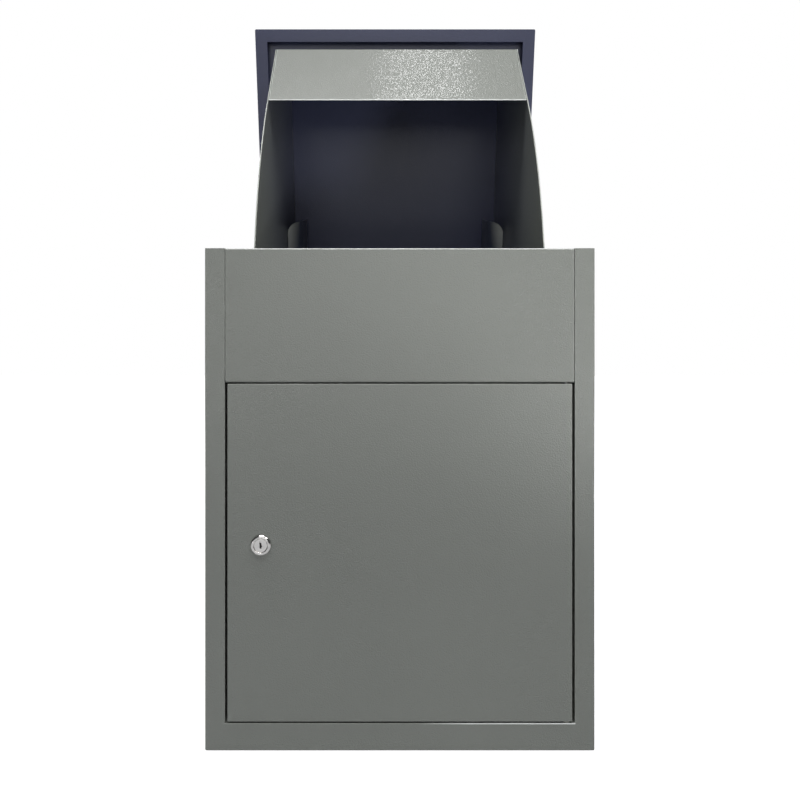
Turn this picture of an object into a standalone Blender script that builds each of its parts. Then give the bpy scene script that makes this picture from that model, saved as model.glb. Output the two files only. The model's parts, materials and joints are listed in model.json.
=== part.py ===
"""Parcel drop box: a sheet-steel cabinet with a locked front door and a tilting hopper lid.

The cabinet stands on the ground. Its lid turns on two hinges at the rear of the top and carries a
hood, two side plates and a tray: open, they form the mouth that takes a parcel; shut, the tray
hangs down at the back and lets the parcel fall. The door below is opened with a cam lock.

Frame: +Z up, front facing -Y, origin at the centre of the underside.
Sizes in this file are millimetres; solid() turns them into metres.
"""
import math

import bmesh
import bpy
from mathutils import Vector

MM = 0.001

# Cabinet
WIDTH = 450.0
HEIGHT = 580.0
DEPTH = 420.0
SHEET = 1.5                     # all folded panels
FIT = 0.3                       # gap left between pieces that touch or are welded
HALF = WIDTH / 2
SHELL_RADIUS = 1.6              # outside radius of the folded edges

# Front frame around the door
SIDE_BORDER = 23.0
BOTTOM_BORDER = 32.0
FRAME_RETURN = 15.0             # how far the border folds back around the opening
OPENING_HALF = HALF - SIDE_BORDER
TOP_RETURN_EDGE = 176.0         # the side tops fold in as far as this, beside the hood
REAR_LEDGE = 15.5               # strip across the top of the rear panel that carries the lid
REAR_FLANGE = 15.0

# Fixed panel above the door
UPPER_PANEL_LOW = 425.0
UPPER_PANEL_GAP = 0.8           # seam between the fixed panel and the side borders
STOP_LIP = 12.0                 # lip behind the door's top edge
STOP_LIP_DEPTH = FRAME_RETURN + 0.6
LIP_RELIEF = 16.0               # the lip stops short of the opening's sides by this

# Door
DOOR_SIDE_GAP = 2.9
DOOR_END_GAP = 1.5
DOOR_FOLD = 15.0
DOOR_HALF = OPENING_HALF - DOOR_SIDE_GAP
DOOR_LOW = BOTTOM_BORDER + DOOR_END_GAP
DOOR_HIGH = UPPER_PANEL_LOW - DOOR_END_GAP
DOOR_AXIS_X = DOOR_HALF - 6.5
DOOR_AXIS_DEPTH = 4.5
DOOR_PIN_RADIUS = 2.0
DOOR_PIN_REACH = 9.0            # how far a door pin stands into the door
STIFFENER_HALF = 30.0
STIFFENER_DEPTH = 11.0
STIFFENER_FOOT = 14.0
STIFFENER_SHEET = 1.2

# Cam lock
LOCK_X = -160.3
LOCK_Z = 237.4
BEZEL_RADIUS = 12.0
BEZEL_PROUD = 2.6
BARREL_RADIUS = 9.3
BARREL_END = 16.0
PLUG_RADIUS = 7.9
PLUG_CLEARANCE = 0.15
KEY_SLOT = (2.2, 7.0, 6.0)      # width, height, depth
LOCK_WASHER_RADIUS = 13.5
LOCK_WASHER = 1.2
NUT_FLATS = 24.0
NUT = 5.0
CAM_DEPTH = 17.8                # where the cam's plate starts, measured from the front plane
CAM_THICKNESS = 2.4
CAM_REACH = 50.0
CAM_HALF_WIDTH = 8.0
CAM_SQUARE = 4.0                # half the plug's square end

# Lid, in its own frame: origin on the hinge axis, forward = towards the front when shut
LID_AXIS_DEPTH = 400.0
LID_AXIS_UP = -1.0              # measured from the cabinet's top
LID_OPEN = math.radians(77.5)
LID_HALF = 226.0
LID_REAR = 3.5
LID_FRONT = 405.0
LID_LOW = 1.5
LID_THICK = 17.0
LID_HIGH = LID_LOW + LID_THICK
LID_FLANGE = 19.2
SKIN_INSIDE = LID_HIGH - SHEET

# Hood, side plates and tray
PLATE_OUTER = 173.0
HOOD_HALF = PLATE_OUTER - SHEET - FIT
HOOD_FRONT = 348.8
HOOD_CORNER = (HOOD_FRONT, -137.7)
HOOD_TIP = (269.7, -227.8)
PLATE_MIDDLE = (164.7, -321.0)
PLATE_TOE = (30.7, -385.5)
TRAY_LIP = (82.0, -381.3)
TRAY_TOE = (35.1, -391.7)
TRAY_HEEL = (4.5, LID_LOW - FIT)
TRAY_WELD_FLANGE = 30.0
EAR_FOOT = TRAY_HEEL[0] + 4
EAR_TOP = 103.0
EAR_REACH = 87.0                # from the hinge line to the ear's near edge
EAR_INWARD = 21.0               # how far the curved near end stands off the side plate
EAR_CURVE = 45.0
EAR_CORNER = 20.0

# Lid hinges
LID_HINGE_X = 130.0
HINGE_HALF = 25.0
KNUCKLE_RADIUS = 3.2
HINGE_PIN_RADIUS = 1.5
HINGE_CLEARANCE = 0.08
KNUCKLE_SPLIT = 9.0             # half the length of the middle knuckle
LEAF = 1.3

# Anchor holes, blanked with rubber plugs
ANCHOR_RADIUS = 5.0
BASE_ANCHORS = (150.0, 140.0)   # half spacing across, half spacing front to back
REAR_ANCHORS = (140.0, 180.0)   # half spacing across, half spacing up
REAR_ANCHOR_MIDDLE = 300.0
PLUG_HEAD_RADIUS = 8.0
PLUG_HEAD = 1.8


# ---------------------------------------------------------------- materials and objects

def material(name, colour, roughness, metallic):
    made = bpy.data.materials.new(name)
    made.use_nodes = True
    made.diffuse_color = (*colour, 1.0)
    shader = made.node_tree.nodes["Principled BSDF"]
    shader.inputs["Base Color"].default_value = (*colour, 1.0)
    shader.inputs["Roughness"].default_value = roughness
    shader.inputs["Metallic"].default_value = metallic
    return made


def frame_empty(name, parent, location, turn=0.0):
    """An empty on a joint's axis; turn is its rotation about X."""
    empty = bpy.data.objects.new(name, None)
    bpy.context.collection.objects.link(empty)
    empty.parent = parent
    empty.location = Vector(location) * MM
    empty.rotation_euler.x = turn
    return empty


def solid(name, bm, look, parent, shift=(0, 0, 0)):
    """Turn a millimetre bmesh into a named object; shift is taken off to reach the parent's origin."""
    bmesh.ops.translate(bm, verts=bm.verts, vec=-Vector(shift))
    bmesh.ops.scale(bm, verts=bm.verts, vec=(MM, MM, MM))
    bmesh.ops.recalc_face_normals(bm, faces=bm.faces)
    mesh = bpy.data.meshes.new(name)
    bm.to_mesh(mesh)
    bm.free()
    made = bpy.data.objects.new(name, mesh)
    bpy.context.collection.objects.link(made)
    made.parent = parent
    if look:
        mesh.materials.append(look)
    return made


def tool(target, name, bm, operation, shift=(0, 0, 0)):
    """Add or remove a shape from target with an exact Boolean; the shape itself stays hidden."""
    helper = solid(name, bm, None, target.parent, shift)
    helper.hide_render = True
    helper.display_type = 'WIRE'
    step = target.modifiers.new(name, 'BOOLEAN')
    step.operation = operation
    step.solver = 'EXACT'
    step.object = helper


def cut(target, name, bm, shift=(0, 0, 0)):
    tool(target, name, bm, 'DIFFERENCE', shift)


def add(target, name, bm, shift=(0, 0, 0)):
    tool(target, name, bm, 'UNION', shift)


def smooth(made, angle=35.0):
    made.data.shade_smooth()
    made.data.set_sharp_from_angle(angle=math.radians(angle))


# ---------------------------------------------------------------- shapes

def box(low, high):
    bm = bmesh.new()
    bmesh.ops.create_cube(bm, size=1.0)
    size = Vector(high) - Vector(low)
    bmesh.ops.scale(bm, verts=bm.verts, vec=size)
    bmesh.ops.translate(bm, verts=bm.verts, vec=(Vector(high) + Vector(low)) / 2)
    return bm


def rounded_box(low, high, keep, radius, segments=3):
    """A box with the edges that keep(middle, direction) picks rounded to radius."""
    bm = box(low, high)
    chosen = []
    for edge in bm.edges:
        a, b = (v.co for v in edge.verts)
        if keep((a + b) / 2, (b - a).normalized()):
            chosen.append(edge)
    bmesh.ops.bevel(bm, geom=chosen, offset=radius, segments=segments, affect='EDGES', profile=0.5)
    return bm


def prism(outline, axis, start, end):
    """Extrude an outline along axis. Outline pairs are (y, z) for X, (x, z) for Y, (x, y) for Z."""
    place = {
        'X': lambda u, v: (start, u, v),
        'Y': lambda u, v: (u, start, v),
        'Z': lambda u, v: (u, v, start),
    }[axis]
    along = {'X': (1, 0, 0), 'Y': (0, 1, 0), 'Z': (0, 0, 1)}[axis]
    bm = bmesh.new()
    face = bm.faces.new([bm.verts.new(place(u, v)) for u, v in outline])
    sweep = bmesh.ops.extrude_face_region(bm, geom=[face])
    moved = [item for item in sweep["geom"] if isinstance(item, bmesh.types.BMVert)]
    bmesh.ops.translate(bm, verts=moved, vec=Vector(along) * (end - start))
    return bm


def circle(centre, radius, count):
    turns = [2 * math.pi * (i + 0.5) / count for i in range(count)]
    return [(centre[0] + radius * math.cos(turn), centre[1] + radius * math.sin(turn)) for turn in turns]


def rod(axis, centre, radius, start, end, count=24):
    return prism(circle(centre, radius, count), axis, start, end)


def turned(axis, centre, profile, count=24):
    """A solid of revolution: profile is a list of (station along axis, radius)."""
    bm = bmesh.new()
    rings = []
    for station, radius in profile:
        ring = []
        for u, v in circle(centre, radius, count):
            spot = {'X': (station, u, v), 'Y': (u, station, v), 'Z': (u, v, station)}[axis]
            ring.append(bm.verts.new(spot))
        rings.append(ring)
    for low, high in zip(rings, rings[1:]):
        for i in range(count):
            j = (i + 1) % count
            bm.faces.new((low[i], low[j], high[j], high[i]))
    bm.faces.new(rings[0])
    bm.faces.new(rings[-1])
    return bm


def fillet(before, corner, after, radius, segments=4):
    """Points of the arc that rounds a corner."""
    corner = Vector(corner)
    back = (Vector(before) - corner).normalized()
    ahead = (Vector(after) - corner).normalized()
    half = back.angle(ahead) / 2
    centre = corner + (back + ahead).normalized() * (radius / math.sin(half))
    first = corner + back * (radius / math.tan(half)) - centre
    last = corner + ahead * (radius / math.tan(half)) - centre
    sweep = first.angle_signed(last)
    points = []
    for i in range(segments + 1):
        turn = -sweep * i / segments
        c, s = math.cos(turn), math.sin(turn)
        points.append(tuple(centre + Vector((first.x * c - first.y * s, first.x * s + first.y * c))))
    return points


def offset_line(path, distance):
    """The path moved to its left by distance, with mitred corners."""
    spots = [Vector(p) for p in path]
    moved = []
    for i, spot in enumerate(spots):
        sides = []
        if i > 0:
            run = (spot - spots[i - 1]).normalized()
            sides.append(Vector((-run.y, run.x)))
        if i < len(spots) - 1:
            run = (spots[i + 1] - spot).normalized()
            sides.append(Vector((-run.y, run.x)))
        if len(sides) == 1:
            moved.append(spot + sides[0] * distance)
        else:
            middle = (sides[0] + sides[1]).normalized()
            moved.append(spot + middle * (distance / middle.dot(sides[0])))
    return moved


def folded(path, bend=1.0, thickness=SHEET):
    """Outline of a folded sheet: path is one face, the sheet lies on its left, bend is the inside radius."""
    left = offset_line(path, thickness)
    faces = ([], [])
    for i, spot in enumerate(path):
        if i in (0, len(path) - 1):
            faces[0].append(tuple(spot))
            faces[1].append(tuple(left[i]))
            continue
        run = Vector(spot) - Vector(path[i - 1])
        turn = run.cross(Vector(path[i + 1]) - Vector(spot))
        radii = (bend + thickness, bend) if turn > 0 else (bend, bend + thickness)
        faces[0].extend(fillet(path[i - 1], spot, path[i + 1], radii[0]))
        faces[1].extend(fillet(left[i - 1], left[i], left[i + 1], radii[1]))
    return faces[0] + faces[1][::-1]


def arc_through(first, middle, last, segments):
    """Points of the circle arc from first through middle to last."""
    ax, ay = first
    bx, by = middle
    cx, cy = last
    d = 2 * (ax * (by - cy) + bx * (cy - ay) + cx * (ay - by))
    a2, b2, c2 = ax * ax + ay * ay, bx * bx + by * by, cx * cx + cy * cy
    ox = (a2 * (by - cy) + b2 * (cy - ay) + c2 * (ay - by)) / d
    oy = (a2 * (cx - bx) + b2 * (ax - cx) + c2 * (bx - ax)) / d
    radius = math.hypot(ax - ox, ay - oy)
    start = math.atan2(ay - oy, ax - ox)
    sweep = math.atan2(cy - oy, cx - ox) - start
    sweep = (sweep + math.pi) % (2 * math.pi) - math.pi
    return [(ox + radius * math.cos(start + sweep * i / segments),
             oy + radius * math.sin(start + sweep * i / segments)) for i in range(segments + 1)]


def in_lid(outline):
    """(forward, up) pairs as (y, z) pairs of the lid's frame."""
    return [(-forward, up) for forward, up in outline]


# ---------------------------------------------------------------- cabinet

def cabinet_shell(paint, root):
    """Left side, base and right side folded from one sheet, with the front frame welded at its corners."""
    def rounded(spot, run):
        front_corner = spot.y < 1 and abs(run.z) > 0.9
        under = spot.z < 1 and abs(run.y) > 0.9
        front_foot = spot.y < 1 and spot.z < 1
        return front_corner or under or front_foot

    outside = rounded_box((-HALF, 0, 0), (HALF, DEPTH, HEIGHT), rounded, SHELL_RADIUS)
    shell = solid("cabinet_shell", outside, paint, root)
    inner = HALF - SHEET
    past = 40.0
    cut(shell, "shell_inside", box((-inner, SHEET, SHEET), (inner, DEPTH + past, HEIGHT - SHEET)))
    cut(shell, "shell_front_opening",
        box((-OPENING_HALF, -past, BOTTOM_BORDER), (OPENING_HALF, SHEET + 1, HEIGHT + past)))
    cut(shell, "shell_top_opening",
        box((-TOP_RETURN_EDGE, -past, HEIGHT - past), (TOP_RETURN_EDGE, DEPTH + past, HEIGHT + past)))
    cut(shell, "shell_ledge_notch",
        box((-inner, DEPTH - REAR_LEDGE - FIT, HEIGHT - past / 2), (inner, DEPTH + past, HEIGHT + past)))
    cut(shell, "shell_panel_notch",
        box((-OPENING_HALF, -past, HEIGHT - past / 2), (OPENING_HALF, FRAME_RETURN + 2, HEIGHT + past)))
    for side, name in ((-1, "left"), (1, "right")):
        edges = sorted((side * OPENING_HALF, side * (OPENING_HALF + SHEET)))
        add(shell, name + "_border_return",
            box((edges[0], SHEET / 2, BOTTOM_BORDER - SHEET), (edges[1], FRAME_RETURN, HEIGHT - SHEET / 2)))
    add(shell, "bottom_border_return",
        box((-OPENING_HALF - SHEET / 2, SHEET / 2, BOTTOM_BORDER - SHEET),
            (OPENING_HALF + SHEET / 2, FRAME_RETURN, BOTTOM_BORDER)))
    for x, depth in base_anchors():
        cut(shell, "base_anchor_hole", rod('Z', (x, depth), ANCHOR_RADIUS, -5, 5))
    cut(shell, "lower_pin_hole",
        rod('Z', (DOOR_AXIS_X, DOOR_AXIS_DEPTH), DOOR_PIN_RADIUS + 0.1, BOTTOM_BORDER - 5, BOTTOM_BORDER + 5))


def base_anchors():
    across, along = BASE_ANCHORS
    middle = DEPTH / 2
    return [(x, middle + y) for y in (-along, along) for x in (-across, across)]


def rear_anchors():
    across, up = REAR_ANCHORS
    return [(x, REAR_ANCHOR_MIDDLE + z) for z in (-up, up) for x in (-across, across)]


def rear_panel(paint, root):
    """Plate between the cabinet's sides, with a ledge folded forward along its top."""
    half = HALF - SHEET - FIT
    foot = SHEET + FIT
    path = [(DEPTH - REAR_LEDGE, HEIGHT), (DEPTH, HEIGHT), (DEPTH, foot), (DEPTH - REAR_FLANGE, foot)]
    path.reverse()
    panel = solid("rear_panel", prism(folded(path), 'X', -half, half), paint, root)
    for side, name in ((-1, "left"), (1, "right")):
        edges = sorted((side * half, side * (half - SHEET)))
        add(panel, name + "_rear_flange",
            box((edges[0], DEPTH - REAR_FLANGE, foot + 4), (edges[1], DEPTH - SHEET / 2, HEIGHT - 6)))
    for x, z in rear_anchors():
        cut(panel, "rear_anchor_hole", rod('Y', (x, z), ANCHOR_RADIUS, DEPTH - 6, DEPTH + 6))


def upper_front_panel(paint, root):
    """Fixed panel above the door; its lower fold ends in the lip that stops the door."""
    half = OPENING_HALF - UPPER_PANEL_GAP
    low = UPPER_PANEL_LOW
    lip = STOP_LIP_DEPTH
    path = [(FRAME_RETURN + 1.5, HEIGHT), (0, HEIGHT), (0, low), (lip, low), (lip, low - STOP_LIP)]
    outline = folded(path, bend=0.6)
    panel = solid("upper_front_panel", prism(outline, 'X', -half, half), paint, root)
    cut(panel, "upper_pin_hole",
        rod('Z', (DOOR_AXIS_X, DOOR_AXIS_DEPTH), DOOR_PIN_RADIUS + 0.1, low - 5, low + 5))
    for side, name in ((-1, "left"), (1, "right")):
        edges = sorted((side * (OPENING_HALF - LIP_RELIEF), side * (OPENING_HALF + 10)))
        cut(panel, name + "_lip_relief",
            box((edges[0], lip - 4, low - 2 * STOP_LIP), (edges[1], lip + 4, low - 0.1)))


def strike_plate(zinc, root):
    """Angle on the left wall that the lock's cam turns behind."""
    wall = -(HALF - SHEET - FIT)
    depth = FRAME_RETURN - 0.5
    tip = -(OPENING_HALF + 3)
    path = [(wall, depth + 24), (wall, depth), (tip, depth)]
    solid("strike_plate", prism(folded(path), 'Z', LOCK_Z - 25, LOCK_Z + 25), zinc, root)


def door_pins(steel, nylon, root):
    """Two fixed pins that the door turns on, and the washer it rests on."""
    centre = (DOOR_AXIS_X, DOOR_AXIS_DEPTH)
    shank = DOOR_PIN_RADIUS
    head = DOOR_AXIS_DEPTH - SHEET - 0.2
    chamfer = 0.5
    foot = BOTTOM_BORDER - SHEET - FIT
    top = DOOR_LOW + DOOR_PIN_REACH
    lower = [(foot - 1.5, head), (foot, head), (foot, shank), (top - chamfer, shank), (top, shank - chamfer)]
    smooth(solid("door_lower_pin", turned('Z', centre, lower), steel, root))
    foot = UPPER_PANEL_LOW + SHEET + FIT
    tip = DOOR_HIGH - DOOR_PIN_REACH
    upper = [(tip, shank - chamfer), (tip + chamfer, shank), (foot, shank), (foot, head), (foot + 1.5, head)]
    smooth(solid("door_upper_pin", turned('Z', centre, upper), steel, root))
    low, high = BOTTOM_BORDER + 0.1, DOOR_LOW - 0.2
    washer = solid("door_washer", rod('Z', centre, 3.6, low, high), nylon, root)
    cut(washer, "door_washer_bore", rod('Z', centre, shank + 0.2, low - 2, high + 2))
    smooth(washer)


def anchor_plugs(rubber, root):
    """Rubber blanks in the anchor holes of the base and of the rear panel."""
    stem = ANCHOR_RADIUS - 0.2
    head = PLUG_HEAD_RADIUS
    chamfer = 0.7
    floor = SHEET + 0.1
    crown = floor + PLUG_HEAD
    names = ("front_left", "front_right", "rear_left", "rear_right")
    for name, centre in zip(names, base_anchors()):
        profile = [(0.2, stem), (floor, stem), (floor, head),
                   (crown - chamfer, head), (crown, head - chamfer)]
        smooth(solid("base_plug_" + name, turned('Z', centre, profile), rubber, root))
    wall = DEPTH - floor
    crown = wall - PLUG_HEAD
    names = ("lower_left", "lower_right", "upper_left", "upper_right")
    for name, centre in zip(names, rear_anchors()):
        profile = [(crown, head - chamfer), (crown + chamfer, head),
                   (wall, head), (wall, stem), (DEPTH - 0.2, stem)]
        smooth(solid("rear_plug_" + name, turned('Y', centre, profile), rubber, root))


# ---------------------------------------------------------------- lid hinges

def knuckles(leaf, name, spans, centre):
    """Roll the hinge's knuckles onto a leaf, around the pin."""
    for i, (start, end) in enumerate(spans):
        add(leaf, f"{name}_knuckle_{i}", rod('X', centre, KNUCKLE_RADIUS, start, end))


def lid_hinge(name, x, steel, root, lid):
    """One butt hinge: a leaf on the rear ledge, a leaf on the lid's rear face, and the pin between them."""
    centre = (LID_AXIS_DEPTH, HEIGHT + LID_AXIS_UP)
    low, high = x - HINGE_HALF, x + HINGE_HALF
    split = KNUCKLE_SPLIT
    outer = [(low, x - split - FIT / 2), (x + split + FIT / 2, high)]
    inner = [(x - split + FIT / 2, x + split - FIT / 2)]
    fixed_hinge_leaf(name + "_fixed", centre, (low, high), outer, steel, root)
    moving_hinge_leaf(name + "_moving", (low, high), outer, inner, steel, lid)
    hinge_pin(name + "_pin", centre, (low, high), steel, root)


def fixed_hinge_leaf(name, centre, ends, spans, steel, root):
    low, high = ends
    base = HEIGHT + FIT / 3
    clear = KNUCKLE_RADIUS + FIT
    leaf = box((low, LID_AXIS_DEPTH, base), (high, DEPTH - SHEET, base + LEAF))
    fixed = solid(name + "_leaf", leaf, steel, root)
    cut(fixed, name + "_gap",
        box((spans[0][1], LID_AXIS_DEPTH - 9, base - 5), (spans[1][0], LID_AXIS_DEPTH + clear, base + 9)))
    knuckles(fixed, name, spans, centre)
    cut(fixed, name + "_bore", rod('X', centre, HINGE_PIN_RADIUS + HINGE_CLEARANCE, low - 5, high + 5))
    smooth(fixed)


def moving_hinge_leaf(name, ends, gaps, spans, steel, lid):
    low, high = ends
    face = -(LID_REAR - FIT / 3)
    clear = KNUCKLE_RADIUS + FIT
    moving = solid(name + "_leaf", box((low, face, 0), (high, face + LEAF, SKIN_INSIDE - 1)), steel, lid)
    for side, (start, end) in zip(("left", "right"), gaps):
        cut(moving, f"{name}_gap_{side}", box((start - FIT, -9, -9), (end + FIT, 9, clear)))
    knuckles(moving, name, spans, (0, 0))
    cut(moving, name + "_bore", rod('X', (0, 0), HINGE_PIN_RADIUS + HINGE_CLEARANCE, low - 5, high + 5))
    smooth(moving)


def hinge_pin(name, centre, ends, steel, root):
    low, high = ends
    shank = HINGE_PIN_RADIUS
    head = shank + 0.9
    seat = low - 0.2
    profile = [(low - 1.2, head - 0.4), (low - 0.8, head), (seat, head), (seat, shank), (high + 0.6, shank),
               (high + 1.0, shank - 0.4)]
    smooth(solid(name, turned('X', centre, profile), steel, root))


# ---------------------------------------------------------------- lid and hopper

def lid_panel(paint, lid):
    """Flat lid with folded sides and an inward flange all round its underside."""
    low = (-LID_HALF, -LID_FRONT, LID_LOW)
    high = (LID_HALF, -LID_REAR, LID_HIGH)

    def upper(spot, run):
        return spot.z > LID_HIGH - 1 or abs(run.z) > 0.9

    panel = solid("lid_panel", rounded_box(low, high, upper, 2.0), paint, lid)
    half = LID_HALF - SHEET
    cut(panel, "lid_hollow",
        box((-half, -LID_FRONT + SHEET, LID_LOW + SHEET), (half, -LID_REAR - SHEET, SKIN_INSIDE)))
    half = LID_HALF - LID_FLANGE
    cut(panel, "lid_recess",
        box((-half, -LID_FRONT + LID_FLANGE, LID_LOW - 20), (half, -LID_REAR - LID_FLANGE, LID_LOW + 5)))


def hood_panel(paint, lid):
    """Front of the hopper: weld flange under the lid, wall and slanted face."""
    top = SKIN_INSIDE - FIT
    path = [(HOOD_FRONT - 18, top), (HOOD_FRONT, top), HOOD_CORNER, HOOD_TIP]
    outline = folded(in_lid(path))
    solid("hood_panel", prism(outline, 'X', -HOOD_HALF, HOOD_HALF), paint, lid)


def side_plate_outline():
    """Side of the hopper: straight under the lid, slanted at the front, curved along the mouth."""
    rear = LID_REAR
    under = LID_LOW - FIT
    step = LID_REAR + LID_FLANGE + 1
    top = SKIN_INSIDE - FIT
    curve = arc_through(HOOD_TIP, PLATE_MIDDLE, PLATE_TOE, 24)
    return [(rear, under), (step, under), (step, top), (HOOD_FRONT, top), HOOD_CORNER, *curve]


def side_plates(paint, lid):
    outline = in_lid(side_plate_outline())
    for side, name in ((-1, "left_side_plate"), (1, "right_side_plate")):
        start, end = sorted((side * PLATE_OUTER, side * (PLATE_OUTER - SHEET)))
        solid(name, prism(outline, 'X', start, end), paint, lid)


def ear_section(side):
    """(across, up) outline of an ear: near end turned in off the side plate, then straight to the lid."""
    steps = 8
    outer = HOOD_HALF - 0.5
    face = []
    for i in range(steps + 1):
        turn = math.radians(80) * i / steps
        face.append((outer - EAR_INWARD * math.sin(turn), -EAR_REACH + EAR_CURVE * (1 - math.cos(turn))))
    face.append((outer - EAR_INWARD, TRAY_HEEL[1] - SHEET / 2))
    back = offset_line(face, -SHEET)
    return [(side * x, up) for x, up in [*face, *back[::-1]]]


def ear_corner(side):
    """(across, along) outline of what the ear's rounded top corner leaves out."""
    past = 5.0
    top = -EAR_TOP
    edge = (HOOD_HALF, top)
    arc = fillet((HOOD_HALF, 0), edge, (0, top), EAR_CORNER, 8)
    outer = HOOD_HALF + past
    waste = [(HOOD_HALF - EAR_CORNER, top - past), (outer, top - past), (outer, arc[0][1])]
    return [(side * x, y) for x, y in [*arc, *waste]]


def parcel_tray(paint, lid):
    """Tray that takes the parcel: front lip, floor, flange welded to the lid, and a raised ear each side."""
    path = [TRAY_LIP, TRAY_TOE, TRAY_HEEL, (TRAY_WELD_FLANGE, TRAY_HEEL[1])]
    outline = folded(in_lid(path))
    tray = solid("parcel_tray", prism(outline, 'X', -HOOD_HALF, HOOD_HALF), paint, lid)
    for side, name in ((-1, "left"), (1, "right")):
        add(tray, name + "_ear", prism(ear_section(side), 'Y', -EAR_TOP, -EAR_FOOT))
        cut(tray, name + "_ear_corner", prism(ear_corner(side), 'Z', -EAR_REACH - 5, -EAR_REACH + EAR_CURVE))


# ---------------------------------------------------------------- door and lock

def door_panel(paint, door, origin):
    """Door with its four edges folded back; the pins enter its top and bottom folds."""
    low = (-DOOR_HALF, 0, DOOR_LOW)
    high = (DOOR_HALF, DOOR_FOLD, DOOR_HIGH)

    def face_edges(spot, run):
        return spot.y < 0.5 or abs(run.y) > 0.9

    panel = solid("door_panel", rounded_box(low, high, face_edges, 1.2), paint, door, origin)
    inner = DOOR_HALF - SHEET
    hollow = box((-inner, SHEET, DOOR_LOW + SHEET), (inner, DOOR_FOLD + 20, DOOR_HIGH - SHEET))
    cut(panel, "door_hollow", hollow, origin)
    cut(panel, "door_lock_hole", rod('Y', (LOCK_X, LOCK_Z), BARREL_RADIUS + 0.2, -8, 8, 32), origin)
    bore = DOOR_PIN_RADIUS + 0.25
    centre = (DOOR_AXIS_X, DOOR_AXIS_DEPTH)
    cut(panel, "door_lower_hole", rod('Z', centre, bore, DOOR_LOW - 5, DOOR_LOW + 5), origin)
    cut(panel, "door_upper_hole", rod('Z', centre, bore, DOOR_HIGH - 5, DOOR_HIGH + 5), origin)


def door_stiffener(paint, door, origin):
    """Hat section welded down the middle of the door's back."""
    back = SHEET + FIT
    deep = back + STIFFENER_DEPTH
    foot = STIFFENER_HALF + STIFFENER_FOOT
    path = [(-foot, back), (-STIFFENER_HALF, back), (-STIFFENER_HALF + 6, deep),
            (STIFFENER_HALF - 6, deep), (STIFFENER_HALF, back), (foot, back)]
    ends = (DOOR_LOW + SHEET + 8, DOOR_HIGH - SHEET - 8)
    outline = folded(path, thickness=STIFFENER_SHEET)
    solid("door_stiffener", prism(outline, 'Z', *ends), paint, door, origin)


def lock_body(chrome, door, origin):
    """Lock barrel with its rounded bezel."""
    centre = (LOCK_X, LOCK_Z)
    seat = -0.1
    rim = BEZEL_RADIUS
    profile = [(-BEZEL_PROUD, PLUG_RADIUS + 0.9), (-BEZEL_PROUD - 0.3, PLUG_RADIUS + 1.6),
               (-BEZEL_PROUD, rim - 1.6), (-BEZEL_PROUD + 0.9, rim - 0.4), (seat - 0.5, rim), (seat, rim),
               (seat, BARREL_RADIUS), (BARREL_END, BARREL_RADIUS)]
    body = solid("lock_body", turned('Y', centre, profile, 40), chrome, door, origin)
    bore = PLUG_RADIUS + PLUG_CLEARANCE
    cut(body, "lock_bore", rod('Y', centre, bore, -20, BARREL_END + 20, 40), origin)
    smooth(body)


def lock_fixings(zinc, door, origin):
    """Washer and nut that hold the barrel from behind the door."""
    centre = (LOCK_X, LOCK_Z)
    start = SHEET + 0.1
    disc = rod('Y', centre, LOCK_WASHER_RADIUS, start, start + LOCK_WASHER, 32)
    washer = solid("lock_washer", disc, zinc, door, origin)
    cut(washer, "lock_washer_bore", rod('Y', centre, BARREL_RADIUS + 0.2, -10, 20, 32), origin)
    smooth(washer)
    start += LOCK_WASHER + 0.2
    hexagon = circle(centre, NUT_FLATS / 2 / math.cos(math.pi / 6), 6)
    nut = solid("lock_nut", prism(hexagon, 'Y', start, start + NUT), zinc, door, origin)
    cut(nut, "lock_nut_bore", rod('Y', centre, BARREL_RADIUS + 0.15, -10, 20, 32), origin)


def lock_plug(chrome, lock):
    """Turning plug with the keyway in its face, square at the back for the cam."""
    face = -BEZEL_PROUD + 0.2
    end = CAM_DEPTH - 0.5
    profile = [(face, PLUG_RADIUS - 0.5), (face + 0.5, PLUG_RADIUS), (end, PLUG_RADIUS)]
    plug = solid("lock_plug", turned('Y', (0, 0), profile, 36), chrome, lock)
    square = CAM_SQUARE
    back = CAM_DEPTH + CAM_THICKNESS - 0.4
    add(plug, "plug_square", box((-square, end - 2, -square), (square, back, square)))
    width, tall, deep = KEY_SLOT
    cut(plug, "plug_keyway", box((-width / 2, face - 5, -tall / 2), (width / 2, face + deep, tall / 2)))
    groove = 1.3
    cut(plug, "plug_ward", box((0, face - 5, -groove), (width / 2 + 0.8, face + deep, groove)))
    cut(plug, "plug_thread", rod('Y', (0, 0), 2.3, CAM_DEPTH - 8, CAM_DEPTH + 12, 20))
    smooth(plug)


def lock_cam(zinc, lock):
    """Cam on the plug's square end, hanging down when the door is free."""
    half = CAM_HALF_WIDTH
    turns = [math.pi * i / 10 for i in range(11)]
    outline = [(half * math.cos(turn), half * math.sin(turn)) for turn in turns]
    outline += [(-half, half - CAM_REACH), (-half + 2.5, -CAM_REACH),
                (half - 2.5, -CAM_REACH), (half, half - CAM_REACH)]
    start, end = CAM_DEPTH, CAM_DEPTH + CAM_THICKNESS
    cam = solid("lock_cam", prism(outline, 'Y', start, end), zinc, lock)
    hole = CAM_SQUARE + 0.2
    cut(cam, "cam_square", box((-hole, start - 5, -hole), (hole, end + 5, hole)))


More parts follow.
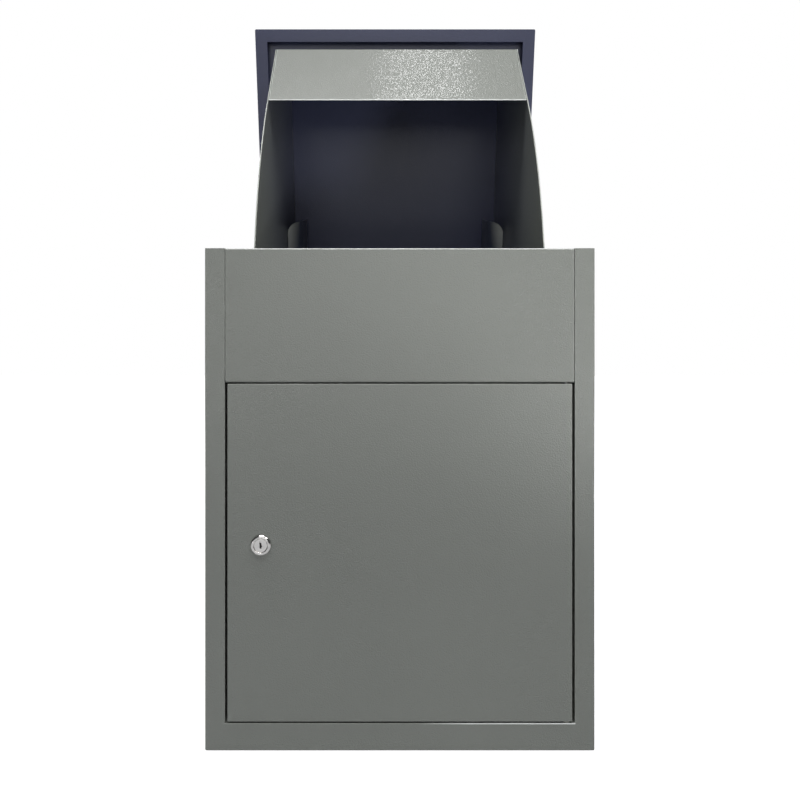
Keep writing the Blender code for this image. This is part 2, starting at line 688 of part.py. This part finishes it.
def cam_screw(steel, lock):
    """Cross-slotted screw that holds the cam on the plug."""
    shank = 2.0
    tip = CAM_DEPTH - 7
    head = CAM_DEPTH + CAM_THICKNESS + 0.2
    profile = [(tip, shank - 0.5), (tip + 0.5, shank), (head, shank), (head, 5.4),
               (head + 1.6, 5.0), (head + 2.4, 3.6)]
    screw = solid("cam_screw", turned('Y', (0, 0), profile, 24), steel, lock)
    for name, across, up in (("screw_slot", 3.0, 0.45), ("screw_cross", 0.45, 3.0)):
        cut(screw, name, box((-across, head + 1.1, -up), (across, head + 6, up)))
    smooth(screw)


# ---------------------------------------------------------------- assembly

def main():
    for old in list(bpy.data.objects):
        bpy.data.objects.remove(old)

    paint = material("textured_grey_paint", (0.19, 0.20, 0.18), 0.5, 0.0)
    lid_paint = material("lid_paint", (0.06, 0.065, 0.09), 0.45, 0.0)
    chrome = material("chrome", (0.75, 0.75, 0.76), 0.15, 1.0)
    zinc = material("zinc_plate", (0.55, 0.56, 0.56), 0.35, 1.0)
    steel = material("steel", (0.50, 0.50, 0.51), 0.3, 1.0)
    rubber = material("black_rubber", (0.02, 0.02, 0.02), 0.8, 0.0)
    nylon = material("nylon", (0.80, 0.79, 0.74), 0.5, 0.0)

    root = frame_empty("cabinet_frame", None, (0, -DEPTH / 2, 0))
    lid = frame_empty("lid_axis", root, (0, LID_AXIS_DEPTH, HEIGHT + LID_AXIS_UP), -LID_OPEN)
    door_origin = (DOOR_AXIS_X, DOOR_AXIS_DEPTH, 0)
    door = frame_empty("door_axis", root, door_origin)
    lock = frame_empty("lock_axis", door, (LOCK_X - DOOR_AXIS_X, -DOOR_AXIS_DEPTH, LOCK_Z))

    cabinet_shell(paint, root)
    rear_panel(paint, root)
    upper_front_panel(paint, root)
    strike_plate(zinc, root)
    door_pins(steel, nylon, root)
    anchor_plugs(rubber, root)
    lid_hinge("left_lid_hinge", -LID_HINGE_X, steel, root, lid)
    lid_hinge("right_lid_hinge", LID_HINGE_X, steel, root, lid)

    lid_panel(lid_paint, lid)
    hood_panel(paint, lid)
    side_plates(paint, lid)
    parcel_tray(paint, lid)

    door_panel(paint, door, door_origin)
    door_stiffener(paint, door, door_origin)
    lock_body(chrome, door, door_origin)
    lock_fixings(zinc, door, door_origin)
    lock_plug(chrome, lock)
    lock_cam(zinc, lock)
    cam_screw(steel, lock)


main()
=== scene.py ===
"""Looks of the parcel drop box: materials, small finishing pieces, floor, light and camera."""
import json
import math

import bmesh
import bpy
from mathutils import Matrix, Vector


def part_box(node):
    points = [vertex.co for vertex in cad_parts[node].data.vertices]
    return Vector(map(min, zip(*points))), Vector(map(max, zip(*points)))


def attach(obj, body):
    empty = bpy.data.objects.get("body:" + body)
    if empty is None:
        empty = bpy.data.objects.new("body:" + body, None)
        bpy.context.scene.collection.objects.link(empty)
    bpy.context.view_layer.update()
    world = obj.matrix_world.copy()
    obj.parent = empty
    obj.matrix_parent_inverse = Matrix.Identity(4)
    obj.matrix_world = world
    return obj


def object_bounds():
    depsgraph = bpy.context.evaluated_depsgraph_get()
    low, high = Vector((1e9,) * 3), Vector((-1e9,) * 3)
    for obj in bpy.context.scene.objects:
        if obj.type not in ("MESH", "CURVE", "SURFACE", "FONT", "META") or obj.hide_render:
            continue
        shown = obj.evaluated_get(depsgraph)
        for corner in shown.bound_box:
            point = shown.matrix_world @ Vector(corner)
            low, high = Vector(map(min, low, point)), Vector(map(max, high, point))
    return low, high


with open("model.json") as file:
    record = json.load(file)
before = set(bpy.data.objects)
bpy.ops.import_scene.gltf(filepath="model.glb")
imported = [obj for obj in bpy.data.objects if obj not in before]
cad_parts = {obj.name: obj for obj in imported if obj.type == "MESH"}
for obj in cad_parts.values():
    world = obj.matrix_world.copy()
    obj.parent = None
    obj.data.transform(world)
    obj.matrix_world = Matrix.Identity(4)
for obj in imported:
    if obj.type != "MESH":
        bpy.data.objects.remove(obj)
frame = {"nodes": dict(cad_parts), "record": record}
cad_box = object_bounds()
nodes = frame["nodes"]
scene = bpy.context.scene

# Lengths are in metres, in the frame's coordinates: +Z up, the door facing -Y. Colours are linear RGB.

GREY = (0.203, 0.214, 0.194)
LID_BLUE = (0.034, 0.040, 0.087)
PAINTED_HIGHLIGHT = (0.80, 0.82, 0.80)            # painted highlight along an edge, where the light catches it
PAINTED_DEEP_SHADE = (0.060, 0.068, 0.105)         # painted shade deep inside the hopper
# painted light on the near edges of the tray's ears
PAINTED_LIT_EAR = (0.34, 0.35, 0.34)
# black standing in for the shade inside the keyway
KEYWAY_SHADE_BLACK = (0.012, 0.011, 0.010)

# Powder coat: noise scales, in features per metre
CLOUD_SCALE = 3.0
PEBBLE_SCALE = 680.0
GRAIN_SCALE = 1500.0
PEEL_SCALE = 90.0
WEAR_SCALE = 60.0
FLAKE_SCALE = 900.0
FLAKE_TILT = 0.20
COAT_WEIGHT = 0.33
COAT_ROUGHNESS = 0.06
SEAM_REACH = 0.003                     # how wide a gap still gets painted shade beside it

# Kinds of powder coat: roughness, radius of the pale edges, how much paler these are (edge wear with a
# painted highlight, strongest on the hopper and hood), depth of the pebbling
PANEL = {"rough": 0.32, "edge": 0.0012, "pale": 1.9, "pebbles": 0.8}
HOPPER = {"rough": 0.32, "edge": 0.0022, "pale": 3.6, "pebbles": 0.8}
HOOD = {"rough": 0.32, "edge": 0.0022, "pale": 3.2, "pebbles": 1.0}
LID = {"rough": 0.34, "edge": 0.0012, "pale": 1.8, "pebbles": 0.3}

# Zones are (x range, y range, z range), each range (low, high, length of the fade in from low)
EVERYWHERE = (-1.0, 1.0, 0.001)
SHARP_FADE = 0.0003
# where the top of the bottom border gets its painted highlight
BORDER_X = (0.02, 0.2025, 0.06)
BORDER_Y = (-0.2115, -0.2093, 0.0001)
# where the inside of the hopper's side plates gets painted shade, darker towards the back
HOPPER_SHADE_ZONE = ((-0.1722, 0.1722, SHARP_FADE), (-0.16, 1.0, 0.26), (0.5, 1.0, 0.001))
# where the tray's ears get their painted light and painted shade
EAR_SIDES = ((0.146, 1.0, SHARP_FADE), (-1.0, -0.146, 0.001))
EAR_HEIGHT = (0.60, 1.0, 0.01)
EAR_BACK = (0.086, 1.0, 0.020)

# Width of the small rounding along the edges, by material slot
ROUNDING = {"textured_paint": 0.0005, "lid_paint": 0.0005, "zinc_plate": 0.0002, "steel": 0.0002}
WELD_DISTANCE = 1e-5
FLAT_ANGLE = math.radians(0.5)
SHARP_ANGLE = math.radians(35)

# a dark plate in the keyway stands in for the shade inside it
SHADE_PLATE_HALF_WIDTH = 0.00105
SHADE_PLATE_HALF_HEIGHT = 0.00345
SHADE_PLATE_FRONT = 0.0004                 # behind the plug's face
SHADE_PLATE_BACK = 0.0010

FLOOR_SIZE = 16.0
FLOOR_DROP = 0.0005
FLOOR_BOUNCE = (0.68, 0.69, 0.71)
FLOOR_GLOW = 1.1
SURROUND = (0.97, 0.99, 1.05)
SURROUND_STRENGTH = 0.06

# name, place, aim, watts, then (width, height) for a panel or the cone's angle in degrees for a spot
LAMPS = (
    ("strip_highlight", (0.11, 0.03, 2.1), (0.11, 0.03, 0.8), 1.4, (0.08, 0.32)),
    ("key", (-0.2, -0.8, 2.7), (0.0, -0.2, 0.4), 40, (1.6, 0.8)),
    ("right", (0.85, -0.85, 1.6), (0.05, -0.2, 0.5), 6, (0.7, 0.7)),
    ("front", (0.0, -3.0, 1.0), (0.0, -0.2, 0.5), 16, (2.0, 1.6)),
    ("right_corner", (0.95, -1.3, 0.12), (0.225, -0.21, 0.54), 36, 26),
    ("left_corner", (-0.95, -1.3, 0.12), (-0.225, -0.21, 0.54), 10, 26),
    ("hopper_corner", (-0.5, -1.2, 0.95), (0.168, 0.10, 0.642), 30, 6),
    ("behind", (-0.9, 2.4, 1.7), (0.0, 0.2, 0.5), 30, (1.4, 1.0)),
)
SPOT_RADIUS = 0.12

CAMERA_X = -0.0191
CAMERA_BACK = 0.790                    # from the front panel
CAMERA_DROP = 0.106                    # below the cabinet's top
SENSOR = 36.0
LENS = 30.83
SHIFT_X = 0.0209
SHIFT_Y = -0.075


# ---------------------------------------------------------------- node helpers

class Graph:
    """Short calls for building a material's node tree; values are sockets or plain numbers."""

    def __init__(self, name):
        self.material = bpy.data.materials.new(name)
        self.material.use_nodes = True
        self.tree = self.material.node_tree
        self.tree.nodes.clear()
        self.output = self.tree.nodes.new("ShaderNodeOutputMaterial")
        self.shader = self.tree.nodes.new("ShaderNodeBsdfPrincipled")
        self.link(self.shader.outputs["BSDF"], self.output.inputs["Surface"])
        self.place = self.tree.nodes.new("ShaderNodeTexCoord").outputs["Object"]

    def link(self, source, target):
        self.tree.links.new(source, target)

    def feed(self, socket, value):
        if hasattr(value, "is_output"):
            self.link(value, socket)
        else:
            socket.default_value = value

    def set(self, name, value):
        self.feed(self.shader.inputs[name], value)

    def noise(self, scale, detail=2.0, roughness=0.5, stretch=None):
        made = self.tree.nodes.new("ShaderNodeTexNoise")
        made.inputs["Scale"].default_value = scale
        made.inputs["Detail"].default_value = detail
        made.inputs["Roughness"].default_value = roughness
        place = self.place
        if stretch:
            mapping = self.tree.nodes.new("ShaderNodeMapping")
            mapping.inputs["Scale"].default_value = stretch
            self.link(place, mapping.inputs["Vector"])
            place = mapping.outputs["Vector"]
        self.link(place, made.inputs["Vector"])
        return made.outputs["Fac"]

    def span(self, value, low, high, to_low, to_high):
        made = self.tree.nodes.new("ShaderNodeMapRange")
        self.link(value, made.inputs["Value"])
        for socket, number in zip(("From Min", "From Max", "To Min", "To Max"), (low, high, to_low, to_high)):
            made.inputs[socket].default_value = number
        return made.outputs["Result"]

    def operate(self, kind, operation, values, result):
        made = self.tree.nodes.new(kind)
        made.operation = operation
        for socket, value in zip(made.inputs, values):
            self.feed(socket, value)
        return made.outputs[result]

    def multiply(self, a, b):
        return self.operate("ShaderNodeMath", 'MULTIPLY', (a, b), "Value")

    def vector(self, operation, *values):
        return self.operate("ShaderNodeVectorMath", operation, values, "Vector")

    def mix(self, factor, a, b):
        """Colour a where factor is 0, b where it is 1."""
        made = self.tree.nodes.new("ShaderNodeMix")
        made.data_type = 'RGBA'
        sockets = {s.identifier: s for s in made.inputs}
        self.feed(sockets["Factor_Float"], factor)
        for name, value in (("A_Color", a), ("B_Color", b)):
            self.feed(sockets[name], value if hasattr(value, "is_output") else (*value, 1.0))
        return next(s for s in made.outputs if s.identifier == "Result_Color")

    def bump(self, height, strength, distance, under=None):
        made = self.tree.nodes.new("ShaderNodeBump")
        made.inputs["Strength"].default_value = strength
        made.inputs["Distance"].default_value = distance
        self.link(height, made.inputs["Height"])
        if under is not None:
            self.link(under, made.inputs["Normal"])
        return made.outputs["Normal"]

    def edges(self, radius):
        """1 along an edge, 0 on flat faces further from it than about radius."""
        bevel = self.tree.nodes.new("ShaderNodeBevel")
        bevel.samples = 6
        bevel.inputs["Radius"].default_value = radius
        flat = self.tree.nodes.new("ShaderNodeNewGeometry").outputs["True Normal"]
        turn = self.operate("ShaderNodeVectorMath", 'DOT_PRODUCT', (bevel.outputs["Normal"], flat), "Value")
        return self.span(turn, 0.995, 0.93, 0.0, 1.0)

    def inside(self, ranges):
        """1 inside a box of the object's own coordinates, fading in from the low side of each range."""
        split = self.tree.nodes.new("ShaderNodeSeparateXYZ")
        self.link(self.place, split.inputs["Vector"])
        result = None
        for axis, (low, high, fade) in zip("XYZ", ranges):
            above = self.span(split.outputs[axis], low, low + fade, 0.0, 1.0)
            below = self.span(split.outputs[axis], high - SHARP_FADE, high, 1.0, 0.0)
            both = self.multiply(above, below)
            result = both if result is None else self.multiply(result, both)
        return result

    def flakes(self, scale, tilt):
        """A normal that leans a different way in every small cell, so that single grains glint."""
        cells = self.tree.nodes.new("ShaderNodeTexVoronoi")
        cells.inputs["Scale"].default_value = scale
        self.link(self.place, cells.inputs["Vector"])
        flat = self.tree.nodes.new("ShaderNodeNewGeometry").outputs["Normal"]
        centred = self.vector('SUBTRACT', cells.outputs["Color"], (0.5, 0.5, 0.5))
        lean = self.vector('MULTIPLY', centred, (tilt, tilt, tilt))
        return self.vector('NORMALIZE', self.vector('ADD', flat, lean))

    def crevice(self, reach):
        """0 deep in a narrow gap or corner, 1 in the open."""
        open_sky = self.tree.nodes.new("ShaderNodeAmbientOcclusion")
        open_sky.samples = 6
        open_sky.inputs["Distance"].default_value = reach
        return self.span(open_sky.outputs["AO"], 0.15, 0.75, 0.0, 1.0)


# ---------------------------------------------------------------- materials

def scaled(colour, factor, lift=0.0):
    return tuple(min(1.0, c * factor + lift) for c in colour)


def powder_coat(name, colour, rough, edge, pale, pebbles, zones=()):
    """Fine-textured powder coat: pebbled, glinting skin, uneven in tone, pale along edges from wear and a
    painted highlight, with painted shade in seams.

    zones are (ranges, colour) pairs: places with a painted highlight or painted shade.
    """
    g = Graph(name)
    cloud = g.noise(CLOUD_SCALE, 3.0)
    pebble = g.noise(PEBBLE_SCALE, 1.0, 0.5)
    grain = g.noise(GRAIN_SCALE, 2.0, 0.6)
    tone = g.mix(g.span(cloud, 0.3, 0.7, 0.0, 1.0), scaled(colour, 0.95), scaled(colour, 1.05))
    speck = g.mix(g.span(grain, 0.45, 0.75, 0.0, 0.30), tone, scaled(colour, 1.45))
    # paler edges: partly edge wear, partly painted highlight where light catches the rounding
    edge_wear_and_glint = g.multiply(g.edges(edge), g.span(g.noise(WEAR_SCALE, 4.0), 0.35, 0.7, 0.55, 1.0))
    edge_wear_and_highlight = g.mix(edge_wear_and_glint, speck, scaled(colour, pale, 0.03))
    # painted shade in seams and narrow gaps, from ambient occlusion
    shaded = g.mix(g.crevice(SEAM_REACH), scaled(colour, 0.12), edge_wear_and_highlight)
    for ranges, tint in zones:
        shaded = g.mix(g.inside(ranges), shaded, tint)
    g.set("Base Color", shaded)
    g.set("Roughness", g.span(grain, 0.3, 0.7, rough - 0.05, rough + 0.08))
    g.set("Specular IOR Level", 0.5)
    g.set("Normal", g.bump(g.noise(PEEL_SCALE, 2.0), 0.10, 0.0008, g.bump(pebble, pebbles, 0.0006)))
    g.set("Coat Weight", COAT_WEIGHT * pebbles)
    g.set("Coat Roughness", COAT_ROUGHNESS)
    g.set("Coat Normal", g.flakes(FLAKE_SCALE, FLAKE_TILT * pebbles))
    return g.material


def metal(name, colour, rough, scratch, tint=None):
    """Bare or plated metal with fine directional scratches and a slightly uneven tone."""
    g = Graph(name)
    line = g.noise(300.0, 3.0, 0.6, (1.0, 1.0, 12.0))
    cloud = g.noise(40.0, 3.0)
    g.set("Base Color", g.mix(g.span(cloud, 0.3, 0.7, 0.0, 1.0), colour, tint or scaled(colour, 0.85)))
    g.set("Metallic", 1.0)
    g.set("Roughness", g.span(line, 0.3, 0.7, max(0.02, rough - scratch), rough + scratch))
    g.set("Normal", g.bump(line, 0.12, 0.0001))
    return g.material


def moulded(name, colour, rough, bump):
    """Moulded rubber or nylon: soft mottling and a fine matt skin."""
    g = Graph(name)
    grain = g.noise(700.0, 3.0)
    cloud = g.noise(60.0, 3.0)
    g.set("Base Color", g.mix(g.span(cloud, 0.3, 0.7, 0.0, 1.0), scaled(colour, 0.85), colour))
    g.set("Roughness", g.span(grain, 0.3, 0.7, rough - 0.1, rough + 0.1))
    g.set("Normal", g.bump(grain, bump, 0.0002))
    return g.material


def slot_looks():
    """Material of each slot."""
    return {
        "textured_paint": powder_coat("textured_grey_paint", GREY, **PANEL),
        "lid_paint": powder_coat("dark_lid_paint", LID_BLUE, **LID),
        "chrome": metal("chrome", (0.88, 0.86, 0.83), 0.10, 0.04),
        "zinc_plate": metal("zinc_plate", (0.60, 0.62, 0.64), 0.30, 0.10, (0.62, 0.58, 0.48)),
        "steel": metal("plain_steel", (0.52, 0.52, 0.53), 0.28, 0.10),
        "rubber": moulded("black_rubber", (0.022, 0.022, 0.024), 0.75, 0.3),
        "nylon": moulded("natural_nylon", (0.80, 0.78, 0.70), 0.5, 0.15),
    }


def highlight_rim(node, high_edge, depth, front=0.0012):
    """Zone along the front of a node's top or bottom edge, with a painted highlight."""
    low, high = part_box(node)
    if high_edge:
        z = (high.z - depth, high.z + 0.001, SHARP_FADE)
    else:
        z = (low.z - 0.001, low.z + depth, SHARP_FADE)
    return (EVERYWHERE, (low.y - 0.001, low.y + front, 0.0001), z), PAINTED_HIGHLIGHT


def border_highlight():
    """Zone along the top of the bottom border, under the door, with a painted highlight."""
    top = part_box("door_panel")[0].z - 0.0015
    return (BORDER_X, BORDER_Y, (top - 0.0013, top + 0.0006, SHARP_FADE)), PAINTED_HIGHLIGHT


def ear_light_and_shade():
    """The tray's ears: painted highlight at the near edge, painted shade where they curve back."""
    zones = []
    for across in EAR_SIDES:
        zones.append(((across, EVERYWHERE, EAR_HEIGHT), PAINTED_LIT_EAR))
        zones.append(((across, EAR_BACK, EAR_HEIGHT), PAINTED_DEEP_SHADE))
    return zones


def node_looks():
    """Materials of the nodes with a painted highlight or painted shade in places of their own."""
    looks = {
        "cabinet_shell": powder_coat("cabinet_grey_paint", GREY, **PANEL, zones=[border_highlight()]),
        "upper_front_panel": powder_coat("front_panel_grey_paint", GREY, **PANEL,
                                         zones=[highlight_rim("upper_front_panel", True, 0.0013)]),
        "hood_panel": powder_coat("hood_grey_paint", GREY, **HOOD,
                                  zones=[highlight_rim("hood_panel", False, 0.0017, front=0.004)]),
        "parcel_tray": powder_coat("tray_grey_paint", GREY, **PANEL, zones=ear_light_and_shade()),
    }
    # the side plates get painted shade deep inside the hopper
    for name in ("left_side_plate", "right_side_plate"):
        looks[name] = powder_coat(name + "_grey_paint", GREY, **HOPPER, zones=[(HOPPER_SHADE_ZONE, PAINTED_DEEP_SHADE)])
    return looks


def dress(node, look, rounding):
    """Give a CAD node its material and softly rounded edges."""
    node.data.materials.clear()
    node.data.materials.append(look)
    weld = node.modifiers.new("weld", 'WELD')
    weld.merge_threshold = WELD_DISTANCE
    flat = node.modifiers.new("flat_faces", 'DECIMATE')
    flat.decimate_type = 'DISSOLVE'
    flat.angle_limit = FLAT_ANGLE
    if rounding:
        bevel = node.modifiers.new("edge_rounding", 'BEVEL')
        bevel.width = rounding
        bevel.segments = 2
        bevel.limit_method = 'ANGLE'
        bevel.angle_limit = SHARP_ANGLE
    for face in node.data.polygons:
        face.use_smooth = True
    node.data.set_sharp_from_angle(angle=SHARP_ANGLE)
    even = node.modifiers.new("even_shading", 'WEIGHTED_NORMAL')
    even.keep_sharp = True
    even.weight = 100


def dress_all():
    by_slot = slot_looks()
    by_node = node_looks()
    for part in frame["record"]["subparts"]:
        slot = part["material_slot"]
        name = part["node"]
        dress(nodes[name], by_node.get(name, by_slot[slot]), ROUNDING.get(slot, 0.0))


# ---------------------------------------------------------------- finishing pieces

def piece(name, bm, body, look):
    """A small visual piece in metres, riding on one of the frame's bodies."""
    mesh = bpy.data.meshes.new(name)
    bm.to_mesh(mesh)
    bm.free()
    made = bpy.data.objects.new(name, mesh)
    scene.collection.objects.link(made)
    mesh.materials.append(look)
    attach(made, body)


def block(low, high):
    bm = bmesh.new()
    bmesh.ops.create_cube(bm, size=1.0)
    bmesh.ops.scale(bm, verts=bm.verts, vec=Vector(high) - Vector(low))
    bmesh.ops.translate(bm, verts=bm.verts, vec=(Vector(high) + Vector(low)) / 2)
    return bm


def keyway_shade_plate():
    """Dark plate just inside the keyway, standing in for the shade deep in the slot."""
    low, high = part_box("lock_plug")
    x = (low.x + high.x) / 2
    z = (low.z + high.z) / 2
    bm = block((x - SHADE_PLATE_HALF_WIDTH, low.y + SHADE_PLATE_FRONT, z - SHADE_PLATE_HALF_HEIGHT),
               (x + SHADE_PLATE_HALF_WIDTH, low.y + SHADE_PLATE_BACK, z + SHADE_PLATE_HALF_HEIGHT))
    piece("keyway_shade_plate", bm, "lock_plug", moulded("keyway_shade_black", KEYWAY_SHADE_BLACK, 0.6, 0.1))


# ---------------------------------------------------------------- stage, light and camera

def seen_white(name, bounce, glow):
    """A pale floor: plain white to the camera, less bright in the light it throws back on the object."""
    g = Graph(name)
    ray = g.tree.nodes.new("ShaderNodeLightPath").outputs["Is Camera Ray"]
    pale = g.mix(g.noise(2.0), (0.88, 0.88, 0.88), (0.92, 0.92, 0.92))
    g.set("Base Color", g.mix(ray, bounce, pale))
    g.set("Roughness", 0.8)
    g.set("Specular IOR Level", 0.1)
    g.set("Emission Color", (1.0, 1.0, 1.0, 1.0))
    g.set("Emission Strength", g.multiply(ray, glow))
    return g.material


def floor():
    bpy.ops.mesh.primitive_plane_add(size=FLOOR_SIZE, location=(0, 0, cad_box[0][2] - FLOOR_DROP))
    made = bpy.context.object
    made.name = "floor"
    made.data.materials.append(seen_white("floor_white", FLOOR_BOUNCE, FLOOR_GLOW))


def lamp(name, place, aim, watts, shape):
    """A rectangular panel of light, or a spot where shape is a cone's angle."""
    panel = isinstance(shape, tuple)
    data = bpy.data.lights.new(name, 'AREA' if panel else 'SPOT')
    data.energy = watts
    if panel:
        data.shape = 'RECTANGLE'
        data.size, data.size_y = shape
    else:
        data.spot_size = math.radians(shape)
        data.spot_blend = 1.0
        data.shadow_soft_size = SPOT_RADIUS
    light = bpy.data.objects.new(name, data)
    light.location = place
    light.rotation_euler = (Vector(aim) - Vector(place)).to_track_quat('-Z', 'Y').to_euler()
    light.visible_camera = False
    scene.collection.objects.link(light)


def studio():
    """Even, faint studio surround; the camera sees a plain white backdrop instead."""
    world = bpy.data.worlds.new("studio")
    world.use_nodes = True
    tree = world.node_tree
    surround = tree.nodes["Background"]
    surround.inputs["Color"].default_value = (*SURROUND, 1.0)
    surround.inputs["Strength"].default_value = SURROUND_STRENGTH
    backdrop = tree.nodes.new("ShaderNodeBackground")
    backdrop.inputs["Color"].default_value = (1.0, 1.0, 1.0, 1.0)
    backdrop.inputs["Strength"].default_value = 1.0
    ray = tree.nodes.new("ShaderNodeLightPath")
    mix = tree.nodes.new("ShaderNodeMixShader")
    tree.links.new(ray.outputs["Is Camera Ray"], mix.inputs["Fac"])
    tree.links.new(surround.outputs["Background"], mix.inputs[1])
    tree.links.new(backdrop.outputs["Background"], mix.inputs[2])
    tree.links.new(mix.outputs["Shader"], tree.nodes["World Output"].inputs["Surface"])
    scene.world = world


def camera():
    """Level camera in front of the box, a little below its top, with the view shifted down."""
    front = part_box("upper_front_panel")[0].y
    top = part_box("cabinet_shell")[1].z
    data = bpy.data.cameras.new("camera")
    data.sensor_width = SENSOR
    data.lens = LENS
    data.shift_x = SHIFT_X
    data.shift_y = SHIFT_Y
    data.clip_start = 0.01
    made = bpy.data.objects.new("camera", data)
    made.location = (CAMERA_X, front - CAMERA_BACK, top - CAMERA_DROP)
    made.rotation_euler = (math.radians(90), 0, 0)
    scene.collection.objects.link(made)
    scene.camera = made


dress_all()
keyway_shade_plate()
floor()
for row in LAMPS:
    lamp(*row)
studio()
camera()
scene.view_settings.view_transform = 'Standard'
